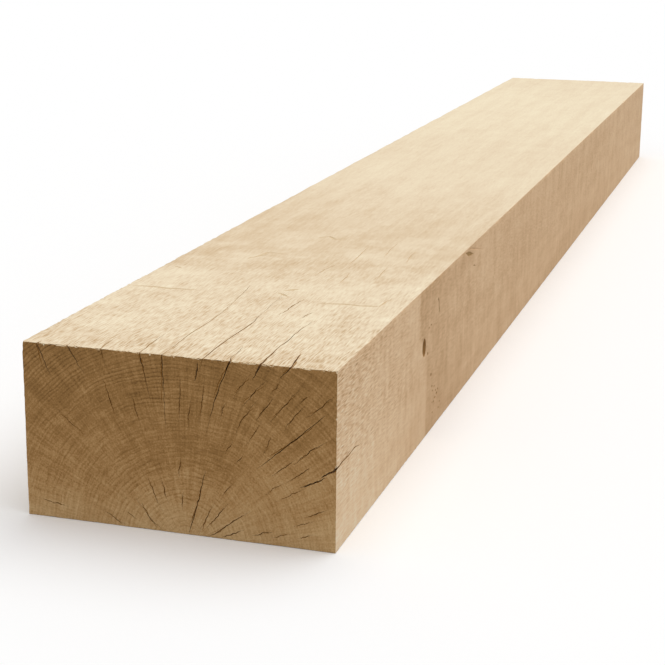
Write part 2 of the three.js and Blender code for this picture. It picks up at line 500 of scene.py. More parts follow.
def sawn_face():
    material, tree, where, place = new_finish("mill-sawn oak")
    y_from_end = place["Y"] - NEAR_Y
    coarse = remap(tree, y_from_end, NAP_SETTLES, (0.48, 0.16))
    fine = remap(tree, y_from_end, NAP_SETTLES, (1.20, 0.28))
    mottle = remap(tree, y_from_end, MOTTLE_FADES, (0.34, 0.04))
    patches = remap(tree, y_from_end, GRAIN_TAKES_OVER, (0.46, 0.14))
    grain = remap(tree, y_from_end, GRAIN_TAKES_OVER, (0.14, 0.22))
    tone = add_marks(
        tree,
        MID_TONE,
        (where, with_grain(2.0, 30), 1.0, coarse),
        (where, with_grain(1.1, 12), 1.0, fine),
    )
    relief = tone
    tone = add_marks(
        tree,
        tone,
        (where, with_grain(24, 9), 2.0, mottle),
        (where, with_grain(5, 70), 1.0, 0.16),
        (where, with_grain(42, 38), 2.0, patches),
        (where, with_grain(15, 190), 1.0, grain),
    )
    tone = add_shades(
        tree,
        tone,
        (y_from_end, 0.0, 110, -0.08, 0.03),
        (y_from_end, 245, 295, 0.0, -0.10),
        (y_from_end, 450, 900, 0.0, 0.13),
        (y_from_end, 1000, 1500, 0.0, 0.08),
        (y_from_end, 1700, 1950, 0.0, -0.05),
    )
    dress(tree, add_ramp(tree, tone, TOP_COLOURS), relief, NAP_RELIEF)
    return material


mill_sawn = sawn_face()
print("made", mill_sawn.name)

# %% [markdown]
# ## The two sides
#
# The narrow faces are sawn on edge, nearer to the heart of the tree. Their colours are a warmer
# copy of the top's: partly the wood's own, and partly a painted shade tint, since less light falls
# on the sides than on the top. The blade crossed them upright, so its strokes stand as faint
# upright lines a finger's breadth apart, with the nap lying across them along the grain. A band
# behind the knot is darker, and it starts further back below the knot than above it.

# %% Sawn side material
BAND_ABOVE_KNOT = 251 * MM
BAND_BELOW_KNOT = 279 * MM
KNOT_FOOT = 78 * MM
KNOT_HEAD = 100 * MM
SIDE_NAP_SETTLES = (0.0, 240 * MM)
STROKES_FADE = (0.0, 600 * MM)
COMBED = (30 * MM, 70 * MM)  # heights: low down the blade laid the nap flat
LIGHT_FADES = (60 * MM, 230 * MM)
# Partly the wood's own warmth and partly a painted shade tint.
SIDE_COLOURS = (
    (0.0, "#9C7746"),
    (0.3, "#D5AE83"),
    (0.5, "#E9C49A"),
    (0.72, "#F8D8B0"),
    (1.0, "#FFEAC9"),
)


def sawn_side():
    material, tree, where, place = new_finish("edge-sawn oak")
    y_from_end = place["Y"] - NEAR_Y
    streaks = remap(tree, y_from_end, SIDE_NAP_SETTLES, (0.44, 0.14))
    fine = remap(tree, y_from_end, SIDE_NAP_SETTLES, (1.35, 0.42))
    strokes = remap(tree, y_from_end, STROKES_FADE, (0.30, 0.12))
    nap = fine * remap(tree, place["Z"], COMBED, (0.45, 1.0))
    tone = add_marks(
        tree,
        MID_TONE,
        (where, with_grain(1.6, 26), 1.0, streaks),
        (where, with_grain(1.0, 9), 1.0, nap),
        (where, with_grain(26, 8), 1.0, strokes),
    )
    relief = tone
    tone = add_marks(
        tree,
        tone,
        (where, with_grain(70, 16), 1.0, 0.18),
        (where, with_grain(26, 40), 2.0, 0.22),
        (where, with_grain(13, 150), 1.0, 0.18),
    )

    # Lightest low down at the near end.
    fades = remap(tree, y_from_end, LIGHT_FADES, (1.0, 0.0))
    low_down = remap(tree, place["Z"], (0.0, HEIGHT), (0.28, -0.07))
    tone = tone + low_down * fades

    # The band starts at once and fades slowly.
    band_from = remap(tree, place["Z"], (KNOT_FOOT, KNOT_HEAD), (BAND_BELOW_KNOT, BAND_ABOVE_KNOT))
    other_side = calc(tree, "LESS_THAN", place["X"], 0.0)
    past_band = y_from_end - (other_side * LENGTH + band_from)
    tone = add_shades(
        tree,
        tone,
        (y_from_end, 20, 160, 0.09, 0.05),
        (past_band, -9, 5, 0.0, -0.19),
        (past_band, 45, 120, 0.0, 0.06),
        (y_from_end, 420, 520, 0.0, 0.05),
        (y_from_end, 900, 1900, 0.0, 0.07),
    )
    dress(tree, add_ramp(tree, tone, SIDE_COLOURS), relief, NAP_RELIEF)
    return material


edge_sawn = sawn_side()
print("made", edge_sawn.name)

# %% [markdown]
# ## Split wood and the dead knot
#
# Inside a check nothing has been cut: the wood has parted between its fibres. Its walls are fresh
# and pale, with ribs that run along the grain, and they lie so deep that they read as brown. Just
# behind an end they are darker, partly from air and dust that got in and partly as painted shade
# in the mouth of the slit. The lips on an end are frayed stumps of fibre, browner than the sawn
# wood beside them, and that brown is partly painted shade of the check. On a long face the lips
# and cracks are bruised, and their brown too is partly painted shade; where the saw's teeth
# pressed the nap flat the wood is hardly darker at all. The closed cracks take that pressed colour
# as a faint painted shade. The hole of the dead knot is lined with what is left of the branch,
# which went dark long ago.

# %% Split oak and knot materials
RIB_WEIGHT = 0.6
RIB_DETAIL = 2.0
SPLIT_RELIEF = 0.3 * MM
# Behind each end the walls of a check darken: partly weathering, partly painted shade in the slit's
# mouth.
AIR_AND_SHADE_REACH = (LENGTH / 2 / MM - 6, LENGTH / 2 / MM - 2)  # in mm from the middle of the baulk


def broken_wood(name, ribs, dark, middle, light, aged_and_shaded=0.0):
    material, tree, where, place = new_finish(name)
    ribs = tuple(side * MM for side in ribs)
    tone = add_marks(tree, MID_TONE, (where, ribs, RIB_DETAIL, RIB_WEIGHT))
    from_middle = calc(tree, "ABSOLUTE", place["Y"])
    shaded = add_shades(tree, tone, (from_middle, *AIR_AND_SHADE_REACH, 0.0, -aged_and_shaded))
    colour = add_ramp(tree, shaded, ((0.0, dark), (MID_TONE, middle), (1.0, light)))
    dress(tree, colour, tone, SPLIT_RELIEF, shine=0.0)
    return material


split_oak = broken_wood("split oak", (1, 12, 1), "#7A5126", "#DEBB8A", "#F2D9B0", aged_and_shaded=0.3)
# The frayed lips' dark brown is partly their own and partly painted shade of the check.
frayed_and_shaded_lip = broken_wood("frayed and shaded lips of checks", (1.2, 1.2, 1.2), "#68431A", "#8E5F29", "#B0844A")
# Lines the cracks and lips of the long faces; its brown is partly painted shade of the crack.
bruised_and_shaded_oak = broken_wood("bruised and shaded oak", (2, 7, 2), "#8A683E", "#B59367", "#D6B98C")
pressed_and_shaded_oak = broken_wood("pressed and shaded oak", (2, 7, 2), "#BF9F74", "#DCC4A0", "#EEDDBF")
dead_knot = broken_wood("dead knot", (6, 1.5, 3), "#7C5A34", "#AC8555", "#D2AE80")
broken = (split_oak, frayed_and_shaded_lip, bruised_and_shaded_oak, pressed_and_shaded_oak, dead_knot)
print("made", [made.name for made in broken])

# %% [markdown]
# ## The baulk before it dried
#
# The body is a plain block, but a block of eight corners has nothing for a saw mark or a worn edge
# to hold on to. So its six faces are laid out as a grid, fine where the grain is seen close to and
# coarser towards the far end. The near end and the two edges beside it are then divided again,
# because torn fibres there are only a millimetre or two across.

# %% Space the grid
CROSS_STEP = 5.0 * MM
EDGE_BAND = 1.2 * MM
NEAR_STEP = 3.2 * MM
NEAR_STRETCH = 240 * MM
STEP_GROWTH = 0.025  # how much longer a row gets for each unit travelled beyond that
FAR_STEP = 20.0 * MM


def cross_stations(low, high):
    inner_low, inner_high = low + EDGE_BAND, high - EDGE_BAND
    count = round((inner_high - inner_low) / CROSS_STEP)
    inner = [inner_low + (inner_high - inner_low) * i / count for i in range(count + 1)]
    return [low, *inner, high]


def lengthwise_stations():
    stations = [0.0]
    while stations[-1] < LENGTH:
        beyond = max(0.0, stations[-1] - NEAR_STRETCH)
        stations.append(stations[-1] + min(FAR_STEP, NEAR_STEP + STEP_GROWTH * beyond))
    return [NEAR_Y + LENGTH * s / stations[-1] for s in stations]


GRID = (
    cross_stations(BOX_LOW.x, BOX_HIGH.x),
    lengthwise_stations(),
    cross_stations(BOX_LOW.z, BOX_HIGH.z),
)
print("grid lines across, along and up:", [len(stations) for stations in GRID])

# %% Build the block
HAIR = 0.1 * MM  # a margin for rounding


def gridded_block(xs, ys, zs):
    block = bmesh.new()
    corners = {}

    def vertex(i, j, k):
        if (i, j, k) not in corners:
            corners[i, j, k] = block.verts.new((xs[i], ys[j], zs[k]))
        return corners[i, j, k]

    def face_grid(place, columns, rows):
        for a in range(columns):
            for b in range(rows):
                corner_steps = ((a, b), (a + 1, b), (a + 1, b + 1), (a, b + 1))
                block.faces.new([vertex(*place(*step)) for step in corner_steps])

    nx, ny, nz = len(xs) - 1, len(ys) - 1, len(zs) - 1
    face_grid(lambda a, b: (a, b, nz), nx, ny)
    face_grid(lambda a, b: (b, a, 0), ny, nx)
    face_grid(lambda a, b: (a, 0, b), nx, nz)
    face_grid(lambda a, b: (b, ny, a), nz, nx)
    face_grid(lambda a, b: (nx, a, b), ny, nz)
    face_grid(lambda a, b: (0, b, a), nz, ny)
    return block


def divide_edges(block, chosen):
    edges = [e for e in block.edges if all(chosen(v.co) for v in e.verts)]
    bmesh.ops.subdivide_edges(block, edges=edges, cuts=1, use_grid_fill=True)


def near_end(point):
    return point.y < NEAR_Y + NEAR_STEP + HAIR


def seen_edges(point):
    beside_top = point.z > BOX_HIGH.z - EDGE_BAND - HAIR
    beside_right = point.x > BOX_HIGH.x - EDGE_BAND - HAIR
    return near_end(point) and (beside_top or beside_right)


block = gridded_block(*GRID)
for chosen in (near_end, seen_edges, seen_edges):
    divide_edges(block, chosen)
baulk_mesh = bpy.data.meshes.new("green baulk")
block.to_mesh(baulk_mesh)
block.free()
baulk_mesh.materials.append(mill_sawn)
print("green baulk:", len(baulk_mesh.polygons), "faces")

# %% [markdown]
# ## Geometry Nodes, by script
#
# What follows a rule is made by Geometry Nodes: the saw's skin, the drying checks and the small
# hollows. A tree is a recipe with named sizes. It runs as a modifier, and its result is then taken
# as a plain mesh. The sizes are set by each socket's identifier, before the first evaluation.

# %% Write and run a tree
SOCKET_KINDS = {
    float: "NodeSocketFloat",
    int: "NodeSocketInt",
    bpy.types.Material: "NodeSocketMaterial",
}


def new_tree(name, sizes):
    """Returns a tree with one input for each size, their identifiers, its input and the sizes."""
    tree = bpy.data.node_groups.new(name, "GeometryNodeTree")
    add_socket = tree.interface.new_socket
    add_socket("Geometry", in_out="INPUT", socket_type="NodeSocketGeometry")
    sockets = {}
    for label, value in sizes.items():
        kind = SOCKET_KINDS[type(value)]
        sockets[label] = add_socket(label, in_out="INPUT", socket_type=kind).identifier
    add_socket("Geometry", in_out="OUTPUT", socket_type="NodeSocketGeometry")
    given = add_node(tree, "NodeGroupInput")
    return tree, sockets, given, {label: Value(tree, given.outputs[label]) for label in sizes}


def grow(name, start_mesh, recipe, sizes):
    """Runs a recipe, a tree and its sockets, on a mesh and returns the result as a plain mesh."""
    tree, sockets = recipe
    holder = stand(name, start_mesh)
    modifier = holder.modifiers.new(name, "NODES")
    modifier.node_group = tree
    for label, value in sizes.items():
        modifier[sockets[label]] = value
    evaluated = holder.evaluated_get(bpy.context.evaluated_depsgraph_get())
    mesh = bpy.data.meshes.new_from_object(evaluated)
    mesh.name = name
    for number in reversed(range(len(mesh.materials))):
        if mesh.materials[number] is None:
            mesh.materials.pop(index=number)
    holder.modifiers.remove(modifier)
    bpy.data.objects.remove(holder)
    return mesh


print("ready: new_tree and grow")


# %% Put cutters on points
def point_mesh(name, fields, rows):
    """A mesh of loose points. Each row gives one point its value for every field."""
    mesh = bpy.data.meshes.new(name)
    mesh.from_pydata([(0, 0, 0)] * len(rows), [], [])
    for field, values in zip(fields, zip(*rows)):
        mesh.attributes.new(field, "FLOAT", "POINT").data.foreach_set("value", values)
    return mesh


def named_values(tree, labels):
    """The values that point_mesh gave to each point."""
    kind = "GeometryNodeInputNamedAttribute"
    nodes = {label: add_node(tree, kind, {"Name": label}, data_type="FLOAT") for label in labels}
    return {label: Value(tree, node.outputs[0]) for label, node in nodes.items()}


def put_on_points(tree, points, shape):
    inputs = {"Points": points, "Instance": shape}
    one_each = add_node(tree, "GeometryNodeInstanceOnPoints", inputs)
    return add_node(tree, "GeometryNodeRealizeInstances", {"Geometry": one_each})


def set_material(tree, geometry, material, **which):
    inputs = {"Geometry": geometry, "Material": material, **which}
    return add_node(tree, "GeometryNodeSetMaterial", inputs)


def hand_over(tree, geometry, position, wall):
    """The last three nodes of every cutter: each point in its place, the finish, the output."""
    shaped = add_node(tree, "GeometryNodeSetPosition", {"Geometry": geometry, "Position": position})
    add_node(tree, "NodeGroupOutput", {"Geometry": set_material(tree, shaped, wall)})


print("ready: point_mesh, named_values, put_on_points, set_material and hand_over")

# %% [markdown]
# ## A saw's skin
#
# A saw leaves the same two marks all over a baulk: long shallow waves where the blade wandered, and
# four edges that are never quite sharp, with small bites where the fibres tore. The rule for an edge
# is the one that rounds any box: pull a point back into a smaller box, then push it out again by the
# radius. On a flat face that changes nothing, and near an edge it draws an arc. Noise makes the
# radius differ from place to place. The tree also gives each face the finish of its own cut.

# %% Build the skin tree
SKIN = {
    "Edge radius": 0.2 * MM,
    "Edge variation": 6.0 * MM,
    "Bite radius": 5.0 * MM,
    "Bite length": 3.0 * MM,
    "Wander depth": 0.35 * MM,
    "Wander length": 90.0 * MM,
    "Stroke depth": 0.10 * MM,
    "Stroke pitch": 13.0 * MM,
    "Flat faces": mill_sawn,
    "Sides": edge_sawn,
    "Ends": cross_cut,
}
BITE_THRESHOLD = 0.54
WEAR_THRESHOLD = 0.42
WEAR_SPREAD = 0.55  # how many swells of the slow wear fit in the length of a bite
TORN_TOP = 8 * MM  # how far down from the top the corners are torn as the top edges are
CALM_UPRIGHTS = 0.3  # below that, a corner that stands upright has this share of their wear
STROKE_DRIFT = 4.0  # by how many strokes the wander sets the ripple off
SIDES_FROM = 0.7  # how squarely a face has to look out, as a cosine, to get the sides' finish
ENDS_FROM = 0.4


def skin_tree():
    tree, sockets, given, size = new_tree("saw skin", SKIN)
    middle = (BOX_LOW + BOX_HIGH) / 2
    half_size = (BOX_HIGH - BOX_LOW) / 2
    position = add_node(tree, "GeometryNodeInputPosition")
    normal = add_node(tree, "GeometryNodeInputNormal")

    # The edge radius: a worn minimum, a slow variation, and a few deeper bites.
    slow = add_noise(tree, position, WEAR_SPREAD / size["Bite length"], detail=3.0)
    fine = add_noise(tree, position, 1.0 / size["Bite length"], detail=2.0)
    top = (BOX_HIGH.z - TORN_TOP, BOX_HIGH.z)
    beside_top = remap(tree, axes(tree, position)["Z"], top, (CALM_UPRIGHTS, 1.0))
    wear = (slow - WEAR_THRESHOLD).at_least(0.0) * beside_top
    bite = (fine - BITE_THRESHOLD).at_least(0.0) * beside_top * size["Bite radius"]
    varied = wear * size["Edge variation"] + size["Edge radius"]
    radius = bite * (1 / (1 - BITE_THRESHOLD)) + varied

    # Pull into the smaller box, then push out by the radius.
    from_middle = calc_vector(tree, "SUBTRACT", position, middle)
    inner_half = calc_vector(tree, "SUBTRACT", half_size, radius)
    capped = calc_vector(tree, "MINIMUM", from_middle, inner_half)
    inner_low = scaled(tree, inner_half, -1.0)
    inner = calc_vector(tree, "MAXIMUM", capped, inner_low)
    outward = calc_vector(tree, "SUBTRACT", from_middle, inner)
    direction = calc_vector(tree, "NORMALIZE", outward)
    pushed = scaled(tree, direction, radius)
    rounded = calc_vector(tree, "ADD", inner, pushed)
    placed = calc_vector(tree, "ADD", rounded, middle)
    worn = add_node(tree, "GeometryNodeSetPosition", {"Geometry": given, "Position": placed})

    # The wandering blade: slow hollows, and a fine ripple across the length.
    wander = add_noise(tree, position, 1.0 / size["Wander length"], detail=2.0)
    turns = axes(tree, position)["Y"] / size["Stroke pitch"]
    wave = calc(tree, "SINE", (wander * STROKE_DRIFT + turns) * (2 * math.pi))
    depth = (wave * HALF + HALF) * size["Stroke depth"] + wander * size["Wander depth"]
    offset = scaled(tree, normal, depth * -1.0)
    rippled = add_node(tree, "GeometryNodeSetPosition", {"Geometry": worn, "Offset": offset})

    # Each cut its own finish. The worn edges keep the pale nap of the long faces.
    facing = axes(tree, normal)
    finished = set_material(tree, rippled, size["Flat faces"])
    for axis, share, finish in (("X", SIDES_FROM, "Sides"), ("Y", ENDS_FROM, "Ends")):
        inputs = {"A": calc(tree, "ABSOLUTE", facing[axis]), "B": share}
        chosen = add_node(tree, "FunctionNodeCompare", inputs, operation="GREATER_THAN")
        finished = set_material(tree, finished, size[finish], Selection=chosen)
    add_node(tree, "NodeGroupOutput", {"Geometry": finished})
    return tree, sockets


sawn_mesh = grow("sawn baulk", baulk_mesh, skin_tree(), SKIN)
print("sawn baulk:", len(sawn_mesh.polygons), "faces,", len(sawn_mesh.materials), "finishes")

# %% [markdown]
# ## Drying checks
#
# Oak shrinks twice as much round the rings as across them, so a drying baulk has to open, and it
# opens along its rays. Seen on the end, every check points at the pith. From the end it runs back
# along the grain and closes up, and where it reaches a long face it shows there as a dark line.
#
# Each check is one row of a list. The rows become points with attributes, and a Geometry Nodes tree
# puts one thin cutter on each: a unit block whose three axes become "inwards", "across" and "back
# into the wood". A check that opens on the skin is widest there. A blind one is a slim lens.

# %% List the checks
# Directions are in degrees from +X, seen from the near end. Roughness is a factor. All else is in
# mm: distances from the pith, the bow sideways, the gape, and the run back into the wood.
# outer direction, inner direction, inner distance, bow, gape, share of it left behind the end, run,
# roughness, and how far it has swung aside at a quarter, half, three quarters and all of its run
OPEN_CHECKS = [
    (128.4, 131.2, 164, 0, 1.90, 0.10, 10, 1, (0, 0, 0, 0)),
    (122.3, 122.1, 152, 0, 1.85, 0.10, 10, 1, (0, 0, 0, 0)),
    (113.9, 114.9, 149, 0, 0.50, 0.20, 28, 1, (1, 1.5, 2, 2)),
    (103.3, 103.4, 116, 0, 1.05, 0.25, 62, 1.3, (1.5, 1.5, 1.5, 2)),
    (96.6, 99.4, 93, -0.6, 1.20, 0.25, 226, 0.8, (2, 0.3, 5, 13)),
    (84.2, 85.2, 141, 0, 0.25, 2.60, 226, 1, (1.2, 0.6, 3.5, 4.5)),
    (76.1, 79.4, 94, 1.2, 1.35, 0.60, 42, 0.8, (3, 3, 3.3, 3.6)),
    (68.2, 68.7, 147, 0, 3.10, 0.36, 136, 1, (1.8, 2.4, 1.7, 0.5)),
    (61.0, 62.0, 158, 0, 1.10, 1.55, 40, 1, (1, 1.3, 2, 2)),
    (32.6, 32.4, 126, 0, 4.20, 0.22, 74, 1.6, (0, 0.8, 0, 0)),
]
# outer direction and distance, inner direction and distance, bow, gape, run
BLIND_CHECKS = [
    (117.3, 149, 119.8, 107, -0.5, 0.21, 30),
    (109.9, 125, 111.0, 100, 0.3, 0.28, 25),
    (91.1, 133, 92.6, 99, 0.3, 0.38, 30),
    (87.5, 119, 88.7, 94, 0.3, 0.23, 25),
    (85.7, 147, 86.2, 132, 0, 1.35, 60),
    (83.3, 138, 83.4, 99, -0.5, 0.20, 30),
    (74.7, 122, 75.1, 108, 0.3, 0.48, 25),
    (69.8, 152, 72.6, 127, 0, 0.22, 20),
    (65.1, 153, 68.9, 122, 0, 0.44, 30),
    (64.9, 135, 67.2, 100, 1.0, 0.32, 40),
    (66.8, 96, 68.0, 84, 0, 0.15, 25),
    (61.5, 157, 62.1, 144, 0, 0.12, 30),
    (60.9, 144, 62.3, 120, 0.3, 0.52, 30),
    (56.2, 161, 57.9, 123, 0, 0.38, 30),
    (60.4, 123, 60.8, 99, -0.3, 0.20, 20),
    (59.3, 91, 61.0, 81, 0.2, 0.28, 20),
    (53.4, 162, 53.7, 151, 0, 0.16, 15),
    (52.5, 153, 52.5, 128, 0.5, 0.54, 40),
    (54.4, 120, 52.9, 101, 0.1, 0.10, 40),
    (48.8, 174, 49.9, 147, -0.8, 0.42, 25),
    (46.7, 159, 50.6, 89, -1.5, 0.85, 90),
    (41.1, 146, 41.4, 114, 1.1, 0.54, 60),
    (42.4, 118, 43.6, 94, 0, 0.39, 60),
    (37.3, 127, 37.3, 99, 0, 0.26, 40),
    (31.7, 129, 32.9, 107, -0.5, 1.25, 44),
    (31.5, 111, 32.2, 84, 0.2, 0.10, 30),
    (37.8, 99, 38.4, 80, 0.2, 0.05, 20),
    (21.3, 120, 20.8, 99, -0.3, 0.31, 25),
    (18.0, 106, 17.7, 88, 0.2, 0.24, 20),
    (12.4, 103, 11.5, 90, 0, 0.12, 20),
    (34.6, 62, 29.0, 17, 0.8, 0.46, 60),
    (59.7, 47, 50.0, 14, 1.3, 0.27, 40),
    (56.2, 66, 56.3, 53, 0, 0.27, 20),
    (49.0, 51, 46.5, 24, 0, 0.34, 40),
    (22.5, 50, 21.4, 29, 0.2, 0.42, 30),
    (16.9, 72, 16.8, 55, 0.2, 0.50, 30),
    (14.2, 86, 13.4, 69, 0, 0.04, 20),
    (76.1, 66, 79.5, 10, -1.6, 0.95, 80),
    (93.3, 44, 95.0, 29, 0.2, 0.40, 25),
    (93.4, 71, 95.6, 55, 0, 0.39, 20),
    (120.4, 67, 125.9, 32, -0.7, 0.16, 45),
    (110.5, 58, 113.3, 36, -0.2, 0.26, 30),
    (140.1, 54, 153.8, 20, -1.2, 0.42, 60),
    (155.1, 55, 157.1, 44, 0, 0.06, 20),
    (162.6, 74, 167.2, 49, -0.3, 0.28, 20),
    (136.7, 146, 135.6, 110, 0, 0.03, 20),
    (168.8, 124, 168.3, 99, 0, 0.26, 20),
]
FAR_CHECKS = [
    (127.0, 181, 127.5, 150, 0.8, 0.45, 40),
    (108.0, 151, 109.5, 115, -1.0, 0.60, 60),
    (99.0, 138, 99.5, 104, 0.4, 0.35, 30),
    (90.0, 145, 91.5, 116, 0.6, 0.75, 60),
    (82.0, 120, 82.6, 92, -0.3, 0.35, 25),
    (74.0, 150, 76.0, 108, -0.8, 0.55, 50),
    (66.0, 142, 67.5, 100, 0.6, 0.40, 30),
    (58.0, 155, 59.5, 118, 1.0, 0.50, 40),
    (49.0, 150, 50.5, 112, -0.5, 0.40, 30),
    (38.0, 142, 39.5, 90, 1.0, 0.90, 60),
    (27.0, 110, 27.4, 80, 0.4, 0.35, 25),
    (136.0, 70, 139.0, 34, 0.5, 0.45, 40),
    (62.0, 52, 58.0, 18, -0.6, 0.45, 40),
]
blind_count = len(BLIND_CHECKS + FAR_CHECKS)
print(len(OPEN_CHECKS), "checks open on a long face,", blind_count, "are blind")

# %% Turn each row into a point
MOUTH_OVERRUN = 1.5 * MM
CLEAR_SHARE = 0.65  # how much of a gape is clear between the walls; the rest is frayed fibre
STILL = (0, 0, 0, 0)
NEAR_SEED = 20  # where the numbers of the blind checks start, at each end
FAR_SEED = 100
SWING_FIELDS = ("swing_1", "swing_2", "swing_3", "swing_4")
CHECK_FIELDS = (
    *("outer_turn", "outer_reach", "inner_turn", "inner_reach"),
    *("bow", "gape", "neck", "run", "rough"),
    *(*SWING_FIELDS, "end", "seed"),
)


def distance_to_skin(turn):
    sideways = BOX_HIGH.x if math.cos(turn) > 0 else BOX_LOW.x
    to_side = (sideways - PITH_X) / math.cos(turn)
    to_top = (BOX_HIGH.z - PITH_Z) / math.sin(turn)
    return min(to_side, to_top)


def open_check(number, row):
    outer_turn, inner_turn, inner, bow, gape, neck, run, rough, swings = row
    turn = math.radians(outer_turn)
    reaches = (turn, distance_to_skin(turn) + MOUTH_OVERRUN, math.radians(inner_turn), inner * MM)
    shape = (bow * MM, gape * CLEAR_SHARE * MM, neck, run * MM, rough)
    return (*reaches, *shape, *(swing * MM for swing in swings), -1, number)


def blind_check(number, row, end):
    outer_turn, outer, inner_turn, inner, bow, gape, run = row
    reaches = (math.radians(outer_turn), outer * MM, math.radians(inner_turn), inner * MM)
    shape = (bow * MM, gape * CLEAR_SHARE * MM, 1, run * MM, 1)
    return (*reaches, *shape, *STILL, end, number)


open_rows = list(enumerate(OPEN_CHECKS))
blind_rows = [(NEAR_SEED + i, row, -1) for i, row in enumerate(BLIND_CHECKS)]
blind_rows += [(FAR_SEED + i, row, 1) for i, row in enumerate(FAR_CHECKS)]
print(f"from the pith straight up to the skin: {distance_to_skin(math.pi / 2) / MM:.0f} mm")

# %% [markdown]
# Split wood is not cut wood. The walls of a check step from ray to ray, so its path is ragged over
# a few millimetres, it never keeps one width, and further back it drifts to one side with the
# grain. Noises give that. Both walls share a rag, coarse and fine, and a slow drift, and one more
# noise sets how far apart they stand.

# %% Name the sizes of a check
OPEN_SIZES = {
    "Stations inward": 27,
    "Stations back": 17,
    "Opens": 1.0,
    "Rag size": 5.0 * MM,
    "Rag depth": 2.2 * MM,
    "Drift length": 70.0 * MM,
    "Drift depth": 5.0 * MM,
    "Thinnest": 0.05 * MM,
    "Neck reach": 4.0 * MM,
    "Wall": split_oak,
}
BLIND_SIZES = {**OPEN_SIZES, "Stations inward": 19, "Stations back": 6, "Opens": 0.0}
UNIT = (0.0, 1.0)
CLOSED_TIP = 0.08  # how open a check still is at the end of its run, as a share
SQUARE_ROOT = 0.5
LENS_POWER = 0.45  # below 1, the sides stay full and close late
WEDGE_POWER = 0.6
FINE_RAG = 3.1  # the second, finer rag is this many times shorter and shallower
RAG_STRETCH = 0.25  # along the grain the rag is this much slower
SEED_STEP = 7.3  # how far apart two checks lie in the noise
GAPE_ASIDE = (31.7, 5.1, 0)  # puts the gape's noise in another place than the rag's
GAPE_PACE = 0.9  # how fast the gape varies, next to the rag
GAPE_SWING = 1.7
GAPE_LEAST = 0.2
DRIFT_ROW = 3.3  # a row of the noise that nothing else uses
print("a check's unit block has", OPEN_SIZES["Stations inward"], "stations inwards")


# %% Build the check tree
def check_tree():
    tree, sockets, given, size = new_tree("drying checks", OPEN_SIZES)
    field = named_values(tree, CHECK_FIELDS)
    stations = {"Vertices X": size["Stations inward"], "Vertices Z": size["Stations back"]}
    block = add_node(tree, "GeometryNodeMeshCube", {"Size": (1, 2, 1), "Vertices Y": 2, **stations})
    cutters = put_on_points(tree, given, block)

    # Where a point is in the unit block: 0 to 1 inwards, -1 or 1 across, 0 to 1 back.
    place = axes(tree, add_node(tree, "GeometryNodeInputPosition"))
    inwards = place["X"] + HALF
    backs = place["Z"] + HALF

    # Back along the grain, starting a little outside the end.
    depth = backs * (field["run"] + MOUTH_OVERRUN) - MOUTH_OVERRUN
    depth_inside = depth.at_least(0.0)
    share = depth_inside / field["run"]
    openness = ((1.0 - share * share) ** SQUARE_ROOT).at_least(CLOSED_TIP)

    # Distance from the pith. The check draws in towards the skin, or towards its own middle.
    outer, inner = field["outer_reach"], field["inner_reach"]
    radial = remap(tree, inwards, UNIT, (outer, inner))
    closes_at = remap(tree, size["Opens"], (-1.0, 1.0), (inner, outer))
    distance = (radial - closes_at) * openness + closes_at

    # Width: a lens, or a wedge that is widest at the skin.
    arch = calc(tree, "SINE", inwards * math.pi)
    lens = arch.at_least(0.0) ** LENS_POWER
    wedge = (1.0 - inwards).at_least(0.0) ** WEDGE_POWER
    swell = remap(tree, size["Opens"], UNIT, (lens, wedge))

    # The noises, sampled by distance, depth and the check's own seed.
    own_plane = field["seed"] * SEED_STEP
    rag_back = depth / size["Rag size"] * RAG_STRETCH
    rag_at = vector(tree, radial / size["Rag size"], rag_back, own_plane)
    rag = add_noise(tree, rag_at, 1.0, detail=0.0)
    fine_rag = add_noise(tree, rag_at, FINE_RAG, detail=0.0)
    gape_at = calc_vector(tree, "ADD", rag_at, GAPE_ASIDE)
    uneven = add_noise(tree, gape_at, GAPE_PACE, detail=1.0)
    drift_at = vector(tree, depth / size["Drift length"], DRIFT_ROW, own_plane)
    drift = add_noise(tree, drift_at, 1.0, detail=2.0)

    # Gape: half of it on each side, now wider, now nearly shut.
    varied = ((uneven - NOISE_MEAN) * GAPE_SWING + 1.0).at_least(GAPE_LEAST)
    necked = remap(tree, depth_inside, (0.0, size["Neck reach"]), (1.0, field["neck"]))
    opened = field["gape"] * HALF * varied * swell * (openness * necked)
    half_width = opened.at_least(size["Thinnest"])

    # Path: rag, bow, drift and swing, added up.
    both_rags = (fine_rag - NOISE_MEAN) * (1 / FINE_RAG) + (rag - NOISE_MEAN)
    bowed = arch * field["bow"] + both_rags * (size["Rag depth"] * field["rough"])
    fade_in = remap(tree, depth_inside, (0.0, size["Drift length"]), UNIT)
    middle = (drift - NOISE_MEAN) * size["Drift depth"] * fade_in + bowed
    parts = len(SWING_FIELDS)
    for number, label in enumerate(SWING_FIELDS, start=1):
        away = calc(tree, "ABSOLUTE", share - number / parts)
        middle = (away * -parts + 1.0).at_least(0.0) * field[label] + middle
    across = place["Y"] * half_width + middle

    # Turn those into a place beside the ray. The far end mirrors it, and so its cutters too stay
    # right side out.
    turn = remap(tree, inwards, UNIT, (field["outer_turn"], field["inner_turn"]))
    cosine = calc(tree, "COSINE", turn)
    sine = calc(tree, "SINE", turn)
    beside = across * (field["end"] * -1.0)
    x = cosine * distance + PITH_X - sine * beside
    y = (LENGTH / 2 - depth) * field["end"]
    z = cosine * beside + (sine * distance + PITH_Z)
    hand_over(tree, cutters, vector(tree, x, y, z), size["Wall"])
    return tree, sockets


splitting = check_tree()
print("check tree:", len(splitting[0].nodes), "nodes")


# %% Make the check cutters
def check_cutters(name, points, sizes):
    return grow(name, point_mesh(name, CHECK_FIELDS, points), splitting, sizes)


open_points = [open_check(*row) for row in open_rows]
blind_points = [blind_check(*row) for row in blind_rows]
open_cutters = check_cutters("open checks", open_points, OPEN_SIZES)
blind_cutters = check_cutters("blind checks", blind_points, BLIND_SIZES)
print("check cutters:", len(open_cutters.polygons), "+", len(blind_cutters.polygons), "faces")
